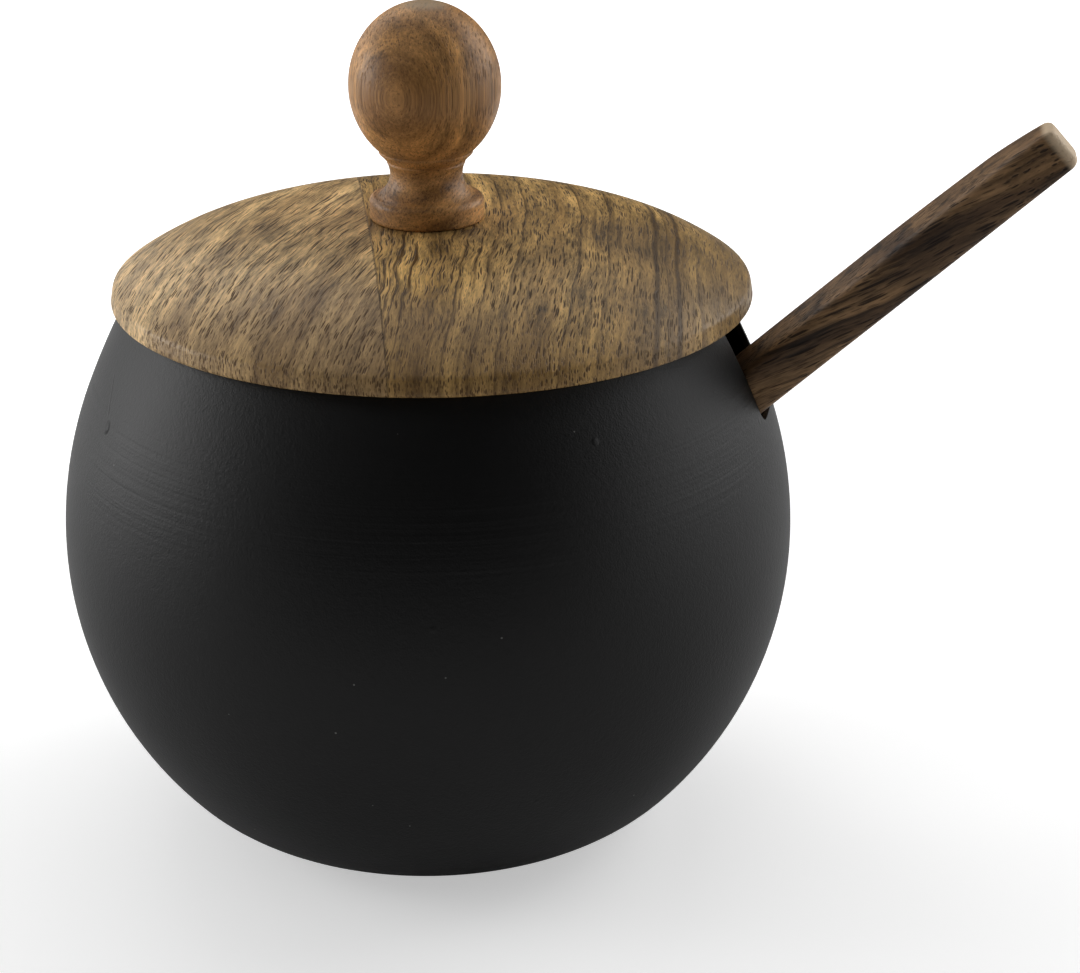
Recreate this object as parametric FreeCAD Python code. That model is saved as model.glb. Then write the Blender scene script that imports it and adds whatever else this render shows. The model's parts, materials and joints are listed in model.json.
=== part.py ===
import FreeCAD, Part
import math
import os

# A lidded sugar bowl with its spoon. Millimetres, +Z up.
# The origin is the centre of the flat base the bowl stands on. The spoon's handle points along +X.

V = FreeCAD.Vector

# ---- bowl: spun sheet, a flat base and four tangent arcs up to the mouth ----
BODY_RADIUS = 52.0          # greatest outside radius
WALL = 0.9                  # sheet thickness
HEEL_RADIUS = 23.4          # arc from the flat base into the flank
FLANK_RADIUS = 53.15        # arc below the widest line
FLANK_ANGLE = 40.8          # degrees that arc turns through
SHOULDER_RADIUS = 58.2      # arc above the widest line
SHOULDER_ANGLE = 22.0       # degrees that arc turns through
NECK_RADIUS = 112.0         # flatter arc up to the mouth
MOUTH_RADIUS = 41.35        # outside radius at the rim

# ---- notch in the rim for the spoon ----
NOTCH_WIDTH = 12.7
NOTCH_DEPTH = 15.1
NOTCH_CORNER = 1.5

# ---- lid: two glued staves, turned as one disc ----
LID_OVERHANG = 3.15         # how far the lid's edge stands out past the rim
LID_EDGE_ROUND = 0.5
LID_BAND_HEIGHT = 2.4       # nearly upright band round the edge
LID_BAND_LEAN = 0.3         # how much the band leans in
LID_RISE = 8.1              # dome height above the band
LID_DOME_POWER = 3.9        # flat middle that rolls over towards the edge
SPIGOT_CLEARANCE = 1.3      # radial gap between the locating step and the mouth
LID_SHIFT = 1.0             # the loose lid lies this far off the axis, towards the spoon
SPIGOT_DEPTH = 5.5
SPIGOT_EDGE_ROUND = 0.8
SEAM_OFFSET = 9.0           # glue line's distance from the axis
SEAM_ANGLE = 14.6           # degrees the glue line is turned from the Y axis

# ---- knob, turned ----
KNOB_FLANGE_RADIUS = 7.9
KNOB_FLANGE_HEIGHT = 3.3
KNOB_FLANGE_ROUND = 0.9
KNOB_NECK_RADIUS = 4.95
KNOB_NECK_HEIGHT = 6.1
KNOB_COLLAR_RADIUS = 5.4
KNOB_COLLAR_HEIGHT = 8.0
KNOB_STEP_RADIUS = 6.5
KNOB_STEP_HEIGHT = 9.1
KNOB_BALL_RADIUS = 10.4
KNOB_BALL_HALF_HEIGHT = 11.4
KNOB_BALL_CENTRE = 18.5
KNOB_OFFSET = 0.7           # the knob and its screw stand this far off the lid's middle, away from the spoon

# ---- screw up through the lid into the knob ----
SCREW_HEAD_RADIUS = 3.8
SCREW_HEAD_SUNK = 0.5       # how far the head sits below the surface
SCREW_SHANK_RADIUS = 2.0
SCREW_CORE_RADIUS = 1.4
SCREW_PITCH = 1.6
SCREW_GRIP = 13.0           # threaded length inside the knob
SCREW_TIP = 3.0
SCREW_HOLE_CLEARANCE = 0.15
RECESS_WIDTH = 0.9
RECESS_SPAN = 4.2
RECESS_DEPTH = 1.7

# ---- spoon, one piece of wood ----
HANDLE_WIDTH = 11.9
HANDLE_THICKNESS = 6.7
HANDLE_EDGE = 1.1           # rounding along the long edges
HANDLE_ANGLE = 42.4         # degrees the handle rises at rest
HANDLE_REACH = 55.2         # length outside the notch
TAIL_TAPER = 18.0           # length over which the handle's end narrows
TAIL_WIDTH = 3.9            # width of the end face
TAIL_SAG = 0.45             # how much the underside curves down at the end
TAIL_DROP = 0.85            # how much the top curves down at the end
TAIL_ROUND = 1.25           # rounding of the end's edges
SCOOP_LENGTH = 34.0
SCOOP_WIDTH = 24.0
SCOOP_DEPTH = 8.0
SCOOP_WALL = 1.8
SCOOP_NECK_WIDTH = 8.6      # handle's width where it meets the scoop
NECK_TAPER = 22.0
SEAT_GAP = 0.3              # gap between handle and notch
FLOOR_GAP = 0.5             # gap between the scoop and the inside of the bowl

# ---- sizes that follow from those above ----
LID_EDGE_RADIUS = MOUTH_RADIUS + LID_OVERHANG
FLANK_CENTRE_R = BODY_RADIUS - FLANK_RADIUS
SHOULDER_CENTRE_R = BODY_RADIUS - SHOULDER_RADIUS


def turned(radius, degrees):
    """Offset (radial, upward) of a point on an arc, measured from the horizontal."""
    a = math.radians(degrees)
    return radius * math.cos(a), radius * math.sin(a)


def arc_centres():
    """Centres (r, z) of the heel, flank, shoulder and neck arcs, and the flat base radius."""
    dr, dz = turned(FLANK_RADIUS - HEEL_RADIUS, FLANK_ANGLE)
    heel = (FLANK_CENTRE_R + dr, HEEL_RADIUS)
    widest = HEEL_RADIUS + dz
    flank = (FLANK_CENTRE_R, widest)
    shoulder = (SHOULDER_CENTRE_R, widest)
    dr, dz = turned(NECK_RADIUS - SHOULDER_RADIUS, SHOULDER_ANGLE)
    neck = (SHOULDER_CENTRE_R - dr, widest - dz)
    return heel, flank, shoulder, neck


HEEL, FLANK, SHOULDER, NECK = arc_centres()
SHOULDER_END = SHOULDER_CENTRE_R + turned(SHOULDER_RADIUS, SHOULDER_ANGLE)[0]


def rim_arc():
    """Centre and radius of the arc the rim ends: the neck's, or the shoulder's if the mouth is wide."""
    if MOUTH_RADIUS > SHOULDER_END:
        return SHOULDER, SHOULDER_RADIUS
    return NECK, NECK_RADIUS


def rim_height():
    centre, radius = rim_arc()
    return centre[1] + math.sqrt(radius ** 2 - (MOUTH_RADIUS - centre[0]) ** 2)


RIM_Z = rim_height()
NOTCH_Z = RIM_Z - NOTCH_DEPTH
LID_TOP_Z = RIM_Z + LID_BAND_HEIGHT + LID_RISE


def wall_radius(z, inset):
    """Radius of the bowl's side at height z above the widest line, inset from the outside."""
    turn_z = SHOULDER[1] + turned(SHOULDER_RADIUS - inset, SHOULDER_ANGLE)[1]
    if z < turn_z or rim_arc()[0] == SHOULDER:
        centre, radius = SHOULDER, SHOULDER_RADIUS - inset
    else:
        centre, radius = NECK, NECK_RADIUS - inset
    return centre[0] + math.sqrt(radius ** 2 - (z - centre[1]) ** 2)


def seat_x():
    """Where the handle rests: the notch floor's inner edge, at the ends of its flat part."""
    half = 0.5 * NOTCH_WIDTH - NOTCH_CORNER
    return math.sqrt(wall_radius(NOTCH_Z, WALL) ** 2 - half ** 2)


MOUTH_INNER = wall_radius(RIM_Z, WALL)
SPIGOT_RADIUS = MOUTH_INNER - SPIGOT_CLEARANCE


def at(r, z):
    return V(r, 0, z)


def arc(centre, radius, start, end):
    """Arc in the XZ plane about a centre, angles in degrees from the horizontal."""
    points = []
    for a in (start, 0.5 * (start + end), end):
        dr, dz = turned(radius, a)
        points.append(at(centre[0] + dr, centre[1] + dz))
    return Part.Arc(*points).toShape()


def line(a, b):
    return Part.LineSegment(a, b).toShape()


def spin(edges):
    """Solid of revolution about Z from a closed run of edges in the XZ plane."""
    face = Part.Face(Part.Wire(edges))
    return face.revolve(V(0, 0, 0), V(0, 0, 1), 360)


def end_of(edge):
    return edge.valueAt(edge.LastParameter)


def start_of(edge):
    return edge.valueAt(edge.FirstParameter)


def side_arcs(inset):
    """The bowl's side from base to mouth as tangent arcs, set in from the outside."""
    centre, radius = rim_arc()
    rim_angle = math.degrees(math.asin((RIM_Z - centre[1]) / (radius - inset)))
    arcs = [
        arc(HEEL, HEEL_RADIUS - inset, -90, -FLANK_ANGLE),
        arc(FLANK, FLANK_RADIUS - inset, -FLANK_ANGLE, 0),
    ]
    if centre == NECK:
        arcs.append(arc(SHOULDER, SHOULDER_RADIUS - inset, 0, SHOULDER_ANGLE))
        arcs.append(arc(NECK, NECK_RADIUS - inset, SHOULDER_ANGLE, rim_angle))
    else:
        arcs.append(arc(SHOULDER, SHOULDER_RADIUS - inset, 0, rim_angle))
    return arcs


def rounded_box(length, width, height, corner):
    """Box along X, centred on Y, with its two lower long corners rounded."""
    box = Part.makeBox(length, width, height, V(0, -0.5 * width, 0))
    low = []
    for edge in box.Edges:
        box_e = edge.BoundBox
        if box_e.ZMax < 1e-6 and box_e.XLength > 0.5 * length:
            low.append(edge)
    return box.makeFillet(corner, low)


def bowl_shell():
    outside = side_arcs(0.0)
    inside = side_arcs(WALL)
    base = line(at(0, 0), start_of(outside[0]))
    rim = line(end_of(outside[-1]), end_of(inside[-1]))
    floor = line(start_of(inside[0]), at(0, WALL))
    axis = line(at(0, WALL), at(0, 0))
    shell = spin([base] + outside + [rim] + inside[::-1] + [floor, axis])
    notch = rounded_box(BODY_RADIUS, NOTCH_WIDTH, 2 * NOTCH_DEPTH, NOTCH_CORNER)
    notch.translate(V(0.5 * MOUTH_RADIUS, 0, NOTCH_Z))
    return shell.cut(notch)


def dome_height(r, crease):
    """Height of the lid's dome above the band at radius r."""
    return LID_RISE * (1.0 - (r / crease) ** LID_DOME_POWER)


def lid_disc():
    """The whole turned lid with its locating step, before it is split along the glue line."""
    crease = LID_EDGE_RADIUS - LID_BAND_LEAN
    band_z = RIM_Z + LID_BAND_HEIGHT
    low = RIM_Z - SPIGOT_DEPTH
    steps = 14
    points = []
    for i in range(steps + 1):
        r = crease * math.sin(0.5 * math.pi * (steps - i) / steps)
        points.append(at(r, band_z + dome_height(r, crease)))
    slope = LID_RISE * LID_DOME_POWER / crease
    dome = Part.BSplineCurve()
    dome.interpolate(Points=points, InitialTangent=V(-1, 0, slope), FinalTangent=V(-1, 0, 0))
    e = LID_EDGE_ROUND
    s = SPIGOT_EDGE_ROUND
    edges = [
        line(at(0, low), at(SPIGOT_RADIUS - s, low)),
        arc((SPIGOT_RADIUS - s, low + s), s, -90, 0),
        line(at(SPIGOT_RADIUS, low + s), at(SPIGOT_RADIUS, RIM_Z)),
        line(at(SPIGOT_RADIUS, RIM_Z), at(LID_EDGE_RADIUS - e, RIM_Z)),
        arc((LID_EDGE_RADIUS - e, RIM_Z + e), e, -90, 0),
        line(at(LID_EDGE_RADIUS, RIM_Z + e), at(crease, band_z)),
        dome.toShape(),
        line(at(0, LID_TOP_Z), at(0, low)),
    ]
    return spin(edges)


def screw_hole():
    """Clearance hole and countersink through the lid."""
    low = RIM_Z - SPIGOT_DEPTH
    gap = SCREW_HOLE_CLEARANCE
    wide = SCREW_HEAD_RADIUS + gap
    thin = SCREW_SHANK_RADIUS + gap
    sunk = low + SCREW_HEAD_SUNK
    shaft = Part.makeCylinder(thin, SPIGOT_DEPTH + LID_TOP_Z, V(0, 0, low))
    mouth = Part.makeCylinder(wide, SCREW_HEAD_SUNK + 1.0, V(0, 0, low - 1.0))
    sink = Part.makeCone(wide, thin, wide - thin, V(0, 0, sunk - gap))
    hole = shaft.fuse([mouth, sink])
    hole.translate(V(-KNOB_OFFSET, 0, 0))
    return hole


def left_half_space():
    """Large block on the -X side of the glue line."""
    size = 4 * LID_EDGE_RADIUS
    block = Part.makeBox(size, size, size, V(-size - SEAM_OFFSET, -0.5 * size, RIM_Z - 0.5 * size))
    block.rotate(V(0, 0, 0), V(0, 0, 1), SEAM_ANGLE)
    return block


def lid_staves():
    disc = lid_disc().cut(screw_hole())
    left = left_half_space()
    return disc.common(left), disc.cut(left)


def knob_solid():
    f = KNOB_FLANGE_ROUND
    h = KNOB_FLANGE_HEIGHT
    rf = KNOB_FLANGE_RADIUS
    lip = rf - f
    neck = Part.BSplineCurve()
    mid_r = KNOB_NECK_RADIUS + 0.28 * (lip - KNOB_NECK_RADIUS)
    mid_z = h + 0.42 * (KNOB_NECK_HEIGHT - h)
    neck_points = [at(lip, h), at(mid_r, mid_z), at(KNOB_NECK_RADIUS, KNOB_NECK_HEIGHT)]
    neck_points.append(at(KNOB_COLLAR_RADIUS, KNOB_COLLAR_HEIGHT))
    neck.interpolate(Points=neck_points)
    ball = Part.Ellipse(at(0, KNOB_BALL_CENTRE + KNOB_BALL_HALF_HEIGHT),
                        at(KNOB_BALL_RADIUS, KNOB_BALL_CENTRE), at(0, KNOB_BALL_CENTRE))
    turn = math.pi - math.asin(KNOB_STEP_RADIUS / KNOB_BALL_RADIUS)
    upper = Part.ArcOfEllipse(ball, 0, turn).toShape()
    ball_z = KNOB_BALL_CENTRE + KNOB_BALL_HALF_HEIGHT * math.cos(turn)
    foot_arc = Part.Arc(at(rf - 0.4, 0), at(rf - 0.1, 0.1), at(rf, 0.4)).toShape()
    edges = [
        line(at(0, 0), at(rf - 0.4, 0)),
        foot_arc,
        line(at(rf, 0.4), at(rf, h - f)),
        arc((lip, h - f), f, 0, 90),
        neck.toShape(),
        line(at(KNOB_COLLAR_RADIUS, KNOB_COLLAR_HEIGHT), at(KNOB_STEP_RADIUS, KNOB_STEP_HEIGHT)),
        line(at(KNOB_STEP_RADIUS, KNOB_STEP_HEIGHT), at(KNOB_STEP_RADIUS, ball_z)),
        upper,
        line(at(0, KNOB_BALL_CENTRE + KNOB_BALL_HALF_HEIGHT), at(0, 0)),
    ]
    solid = spin(edges)
    solid.translate(V(0, 0, LID_TOP_Z))
    return solid


def screw_body():
    """Countersunk wood screw, head down, with its thread as closed rings."""
    foot = RIM_Z - SPIGOT_DEPTH + SCREW_HEAD_SUNK
    top = LID_TOP_Z + SCREW_GRIP
    neck = foot + SCREW_HEAD_RADIUS - SCREW_SHANK_RADIUS
    points = [at(0, foot), at(SCREW_HEAD_RADIUS, foot), at(SCREW_SHANK_RADIUS, neck)]
    points.append(at(SCREW_SHANK_RADIUS, LID_TOP_Z))
    rings = int((SCREW_GRIP - SCREW_TIP) / SCREW_PITCH)
    for i in range(rings):
        z = LID_TOP_Z + i * SCREW_PITCH
        points.append(at(SCREW_CORE_RADIUS, z + 0.25 * SCREW_PITCH))
        points.append(at(SCREW_CORE_RADIUS, z + 0.65 * SCREW_PITCH))
        points.append(at(SCREW_SHANK_RADIUS, z + SCREW_PITCH))
    points.append(at(SCREW_CORE_RADIUS, top - SCREW_TIP))
    points.append(at(0, top))
    points.append(points[0])
    body = Part.Face(Part.makePolygon(points)).revolve(V(0, 0, 0), V(0, 0, 1), 360)
    return body


def knob_screw():
    body = screw_body()
    foot = RIM_Z - SPIGOT_DEPTH + SCREW_HEAD_SUNK
    for turn in (45, 135):
        bar = Part.makeBox(RECESS_SPAN, RECESS_WIDTH, RECESS_DEPTH,
                           V(-0.5 * RECESS_SPAN, -0.5 * RECESS_WIDTH, foot))
        bar.rotate(V(0, 0, 0), V(0, 0, 1), turn)
        body = body.cut(bar)
    return body


def knob():
    return knob_solid().cut(screw_body())


def depth_inside(r, z):
    """Distance from a point in the lower half of the bowl to the inside of its wall."""
    if r < HEEL[0]:
        return z - WALL
    below = math.degrees(math.atan2(HEEL[1] - z, r - HEEL[0]))
    if below > FLANK_ANGLE:
        return HEEL_RADIUS - WALL - math.hypot(r - HEEL[0], z - HEEL[1])
    return FLANK_RADIUS - WALL - math.hypot(r - FLANK[0], z - FLANK[1])


def scoop_room(reach):
    """Least distance between the scoop's underside and the bowl when its middle is at reach."""
    a = math.radians(HANDLE_ANGLE)
    room = []
    samples = 48
    for i in range(1, samples):
        t = math.pi * i / samples
        for j in range(samples // 2):
            s = math.pi * j / samples
            along = 0.5 * SCOOP_LENGTH * math.cos(t) - reach
            across = 0.5 * SCOOP_WIDTH * math.sin(t) * math.sin(s)
            up = SEAT_GAP + HANDLE_THICKNESS - SCOOP_DEPTH * math.sin(t) * math.cos(s)
            x = seat_x() + along * math.cos(a) - up * math.sin(a)
            z = NOTCH_Z + along * math.sin(a) + up * math.cos(a)
            room.append(depth_inside(math.hypot(x, across), z))
    return min(room)


def scoop_centre():
    """Distance from the notch down to the scoop's middle, found by halving, so it just clears."""
    low = 0.5 * SCOOP_LENGTH
    high = 2 * BODY_RADIUS + SCOOP_LENGTH
    for _ in range(24):
        middle = 0.5 * (low + high)
        if scoop_room(middle) > FLOOR_GAP:
            low = middle
        else:
            high = middle
    return low


def section(u, half_width, low, high):
    """Rounded rectangle across the handle at distance u along it."""
    c = HANDLE_EDGE
    d = c * math.sqrt(0.5)
    w = half_width
    edges = []
    corners = [(w, low, 1, 1), (w, high, 1, -1), (-w, high, -1, -1), (-w, low, -1, 1)]
    for i, (y, z, sy, sz) in enumerate(corners):
        centre = V(u, y - sy * c, z + sz * c)
        across = V(u, y, z + sz * c)
        along = V(u, y - sy * c, z)
        middle = centre + V(0, sy * d, -sz * d)
        first, last = (along, across) if i % 2 == 0 else (across, along)
        if edges:
            edges.append(line(end_of(edges[-1]), first))
        edges.append(Part.Arc(first, middle, last).toShape())
    edges.append(line(end_of(edges[-1]), start_of(edges[0])))
    return Part.Wire(edges)


def handle_bar(inner):
    """Bar handle: narrow at the scoop, full width along its length, tapered and rounded at the end."""
    full = 0.5 * HANDLE_WIDTH
    neck = 0.5 * SCOOP_NECK_WIDTH
    tail = 0.5 * TAIL_WIDTH + TAIL_ROUND
    top = HANDLE_THICKNESS
    steps = 6
    sections = []
    for i in range(steps + 1):
        t = i / steps
        ease = t * t * (3 - 2 * t)
        sections.append(section(NECK_TAPER * t - inner, neck + (full - neck) * ease, 0, top))
    start = HANDLE_REACH - TAIL_TAPER
    run = TAIL_TAPER - TAIL_ROUND
    for i in range(steps + 1):
        t = i / steps
        half = full - (full - tail) * t * t
        sections.append(section(start + run * t, half, -TAIL_SAG * t * t, top - TAIL_DROP * t * t))
    for i in range(1, steps):
        a = 0.5 * math.pi * i / steps
        shrink = TAIL_ROUND * (1 - math.cos(a))
        u = HANDLE_REACH - TAIL_ROUND * (1 - math.sin(a))
        sections.append(section(u, tail - shrink, 0.8 * shrink - TAIL_SAG, top - TAIL_DROP - 0.8 * shrink))
    return Part.makeLoft(sections, True, True)


def ellipsoid(a, b, c, centre):
    ball = Part.makeSphere(1.0)
    matrix = FreeCAD.Matrix()
    matrix.scale(a, b, c)
    grown = ball.transformGeometry(matrix)
    grown.translate(centre)
    return grown


def spoon():
    reach = scoop_centre()
    rim = HANDLE_THICKNESS
    a = 0.5 * SCOOP_LENGTH
    b = 0.5 * SCOOP_WIDTH
    middle = V(-reach, 0, rim)
    inner = reach - 0.72 * a
    bar = handle_bar(inner)
    outer = ellipsoid(a, b, SCOOP_DEPTH, middle)
    above = Part.makeBox(4 * a, 4 * b, 4 * SCOOP_DEPTH, V(-reach - 2 * a, -2 * b, rim))
    outer = outer.cut(above)
    w = SCOOP_WALL
    hollow = ellipsoid(a - w, b - w, SCOOP_DEPTH - w, middle)
    shape = bar.fuse(outer).cut(hollow).removeSplitter()
    shape.translate(V(0, 0, SEAT_GAP))
    shape.rotate(V(0, 0, 0), V(0, 1, 0), -HANDLE_ANGLE)
    shape.translate(V(seat_x(), 0, NOTCH_Z))
    return shape


def only_solid(shape):
    if len(shape.Solids) != 1:
        raise ValueError("expected one solid, got %d" % len(shape.Solids))
    return shape.Solids[0]


def build():
    left, right = lid_staves()
    nodes = {
        "bowl_shell": bowl_shell(),
        "lid_stave_left": left,
        "lid_stave_right": right,
        "knob": knob(),
        "knob_screw": knob_screw(),
        "spoon": spoon(),
    }
    os.makedirs("parts", exist_ok=True)
    for name in ("lid_stave_left", "lid_stave_right", "knob", "knob_screw"):
        nodes[name].translate(V(LID_SHIFT, 0, 0))
    for name in ("knob", "knob_screw"):
        nodes[name].translate(V(-KNOB_OFFSET, 0, 0))
    for name, shape in nodes.items():
        only_solid(shape).exportStep("parts/%s.step" % name)
    print("rim height %.3f, notch floor %.3f, lid top %.3f" % (RIM_Z, NOTCH_Z, LID_TOP_Z))
    print("handle turns about x %.3f, scoop reach %.3f" % (seat_x(), scoop_centre()))
    print("mouth inner radius %.3f, base flat radius %.3f" % (MOUTH_INNER, HEEL[0]))


build()
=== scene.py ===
import json
import math

import bmesh
import bpy
from bpy.props import FloatProperty, FloatVectorProperty, IntProperty, PointerProperty
from mathutils import Matrix, Vector
from mathutils.geometry import interpolate_bezier


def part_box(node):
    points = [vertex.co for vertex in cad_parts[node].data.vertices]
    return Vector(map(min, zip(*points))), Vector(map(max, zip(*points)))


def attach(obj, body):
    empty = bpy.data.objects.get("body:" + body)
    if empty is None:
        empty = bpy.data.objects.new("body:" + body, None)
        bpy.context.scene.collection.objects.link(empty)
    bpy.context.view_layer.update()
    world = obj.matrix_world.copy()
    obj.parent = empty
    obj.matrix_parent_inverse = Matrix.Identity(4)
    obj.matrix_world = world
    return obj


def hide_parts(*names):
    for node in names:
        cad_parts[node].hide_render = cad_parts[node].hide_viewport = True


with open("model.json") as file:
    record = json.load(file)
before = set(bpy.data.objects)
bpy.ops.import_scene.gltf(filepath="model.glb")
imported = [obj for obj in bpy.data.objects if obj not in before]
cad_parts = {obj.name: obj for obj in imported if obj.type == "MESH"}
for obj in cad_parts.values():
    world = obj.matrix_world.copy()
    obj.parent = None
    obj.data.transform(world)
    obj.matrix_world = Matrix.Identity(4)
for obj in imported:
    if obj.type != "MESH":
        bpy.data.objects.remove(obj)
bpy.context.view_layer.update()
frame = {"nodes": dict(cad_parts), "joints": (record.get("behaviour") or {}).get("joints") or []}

bl_info = {
    "name": "Sugar bowl with lid and spoon",
    "version": (1, 0, 0),
    "blender": (4, 5, 0),
    "location": "View3D > Sidebar > Sugar Bowl",
    "description": "Builds a black metal sugar bowl with a turned wooden lid, a knob and a wooden spoon",
    "category": "Add Mesh",
}

MM = 0.001
TAU = 2.0 * math.pi

# Places read from the frame, in metres.
BOWL_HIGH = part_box("bowl_shell")[1]
KNOB_LOW, KNOB_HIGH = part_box("knob")
LEFT_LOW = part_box("lid_stave_left")[0]
RIGHT_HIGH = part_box("lid_stave_right")[1]
JOINTS = {joint["name"]: joint for joint in frame["joints"]}
SPOON_SEAT = Vector(JOINTS["spoon_tilt"]["pos_m"])
LID_AXIS = Vector((0.5 * (LEFT_LOW.x + RIGHT_HIGH.x), 0.0, 0.0))
KNOB_AXIS = Vector((0.5 * (KNOB_LOW.x + KNOB_HIGH.x), 0.0, 0.0))

# Marks in the finish, in millimetres.
BEAD_PLACE = (-38.5, -27.6, 65.6)   # the bead of powder at the foot of the run
RUN_X = -38.6
RUN_Z = (66.6, 71.8)
RINGS_Z = (52.0, 60.0, 67.0, 71.0)  # the faint rings fade in and out between these heights
KNOT_PLACE = (29.0, -1.0, 87.0)
DARK_LINES = (-30.6, -33.6)         # across the right stave's grain
KNOB_HEART = (-2.2, 18.8)           # centre of the growth rings, from the knob's axis and its foot
LID_MIDDLE_Z = 84.0
PORE_DEPTH = 0.3                    # below 1, the lid's figure is drawn out through its thickness
# Painted shade: the colour the lid's wood is darkened towards at its front, where the light falls off.
PAINTED_FRONT_SHADE = (0.15, 0.075, 0.024, 1.0)

# Studio, in metres and watts.
FLOOR_HALF = 3.0
FLOOR_DROP = 0.1 * MM               # keeps the bowl's flat base and the floor out of one plane
SURROUND_CAST = 0.005               # light that the white surround casts, of what the camera sees
LIGHT_TARGET = (0.0, 0.0, 0.06)
LIGHTS = (
    ("left softbox", (-0.80, 0.0, 0.23), (0.5, 0.4), 3.2),
    ("left rear softbox", (-0.60, 0.45, 0.40), (0.7, 0.7), 1.9),
    ("left front softbox", (-0.65, -0.45, 0.30), (0.6, 0.6), 0.35),
    ("right softbox", (0.80, 0.0, 0.18), (0.5, 0.34), 0.9),
    ("right rear softbox", (0.65, 0.45, 0.42), (0.7, 0.7), 4.2),
    ("top rear softbox", (-0.1, 0.45, 0.85), (0.9, 0.9), 2.7),
    ("top front softbox", (-0.2, -0.45, 0.85), (0.6, 0.6), 0.5),
)


# ---------------------------------------------------------------- sizes and colours

def length(name, description, default_mm, top_mm=400.0):
    return FloatProperty(name=name, description=description, default=default_mm * MM, min=0.0,
                         max=top_mm * MM, subtype="DISTANCE", unit="LENGTH", precision=5)


def angle(name, description, degrees):
    return FloatProperty(name=name, description=description, default=math.radians(degrees),
                         subtype="ANGLE", unit="ROTATION")


def colour(name, description, rgb):
    return FloatVectorProperty(name=name, description=description, default=rgb, size=3,
                               min=0.0, max=1.0, subtype="COLOR")


class SUGARBOWL_PG_bowl(bpy.types.PropertyGroup):
    """Sizes and finish of the spun metal bowl"""
    wall: length("Wall", "Thickness of the sheet", 0.9)
    heel: length("Heel", "Radius of the arc from the base into the side", 23.4)
    flank: length("Flank", "Radius of the arc below the widest line", 53.15)
    flank_angle: angle("Flank angle", "Angle the flank arc turns through", 40.8)
    shoulder: length("Shoulder", "Radius of the arc above the widest line", 58.2)
    shoulder_angle: angle("Shoulder angle", "Angle the shoulder arc turns through", 22.0)
    neck: length("Neck", "Radius of the flatter arc up to the mouth", 112.0)
    notch_width: length("Notch width", "Width of the notch for the spoon", 12.7)
    notch_corner: length("Notch corner", "Corner radius at the notch's floor", 1.5)
    steps: IntProperty(name="Steps", description="Segments round the bowl", default=288, min=32)
    coat: colour("Coat", "Colour of the powder coat", (0.0048, 0.0048, 0.0049))


class SUGARBOWL_PG_lid(bpy.types.PropertyGroup):
    """Sizes and finish of the two-stave lid"""
    edge_round: length("Edge rounding", "Rounding of the lower edge", 0.5)
    band: length("Band", "Height of the upright band round the edge", 2.4)
    lean: length("Lean", "How far the band leans in", 0.3)
    soften: length("Softened crease", "How far from the crease its rounding starts", 0.8)
    power: FloatProperty(name="Dome power", description="How flat the middle of the dome is", default=3.9)
    spigot: length("Locating step", "Radius of the step under the lid", 39.014)
    spigot_depth: length("Step depth", "Depth of the step under the lid", 5.5)
    spigot_round: length("Step rounding", "Rounding of the step's edge", 0.8)
    hole: length("Screw hole", "Radius of the screw hole", 2.15)
    sink: length("Countersink", "Radius of the countersink", 3.95)
    sunk: length("Countersink depth", "Straight depth of the countersink", 0.5)
    seam: length("Seam offset", "Distance of the glue line from the lid's axis", 9.0)
    seam_angle: angle("Seam angle", "Turn of the glue line from the Y axis", 14.6)
    groove: length("Seam groove", "Width of the fine groove along the glue line", 0.05)
    steps: IntProperty(name="Steps", description="Segments round the lid", default=288, min=32)
    pale_left: colour("Left pale", "Pale wood of the left stave", (0.74, 0.50, 0.23))
    dark_left: colour("Left dark", "Dark wood of the left stave", (0.36, 0.22, 0.09))
    pale_right: colour("Right pale", "Pale wood of the right stave", (0.64, 0.40, 0.14))
    dark_right: colour("Right dark", "Dark wood of the right stave", (0.27, 0.155, 0.05))


class SUGARBOWL_PG_knob(bpy.types.PropertyGroup):
    """Sizes and finish of the turned knob"""
    flange: length("Flange", "Radius of the flange", 7.9)
    flange_height: length("Flange height", "Height of the flange", 3.3)
    neck: length("Neck", "Least radius of the waist", 4.95)
    neck_height: length("Neck height", "Height of the waist", 6.1)
    collar: length("Collar", "Radius under the ball", 5.4)
    collar_height: length("Collar height", "Height of the turned groove", 8.0)
    step: length("Step", "Radius of the small step", 6.5)
    step_height: length("Step height", "Height of the small step", 9.1)
    ball: length("Ball", "Greatest radius of the ball", 10.4)
    ball_centre: length("Ball centre", "Height of the ball's middle", 18.5)
    steps: IntProperty(name="Steps", description="Segments round the knob", default=128, min=24)
    pale: colour("Pale", "Pale wood of the knob", (0.54, 0.28, 0.095))
    dark: colour("Dark", "Dark wood of the knob", (0.28, 0.125, 0.034))


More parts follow.
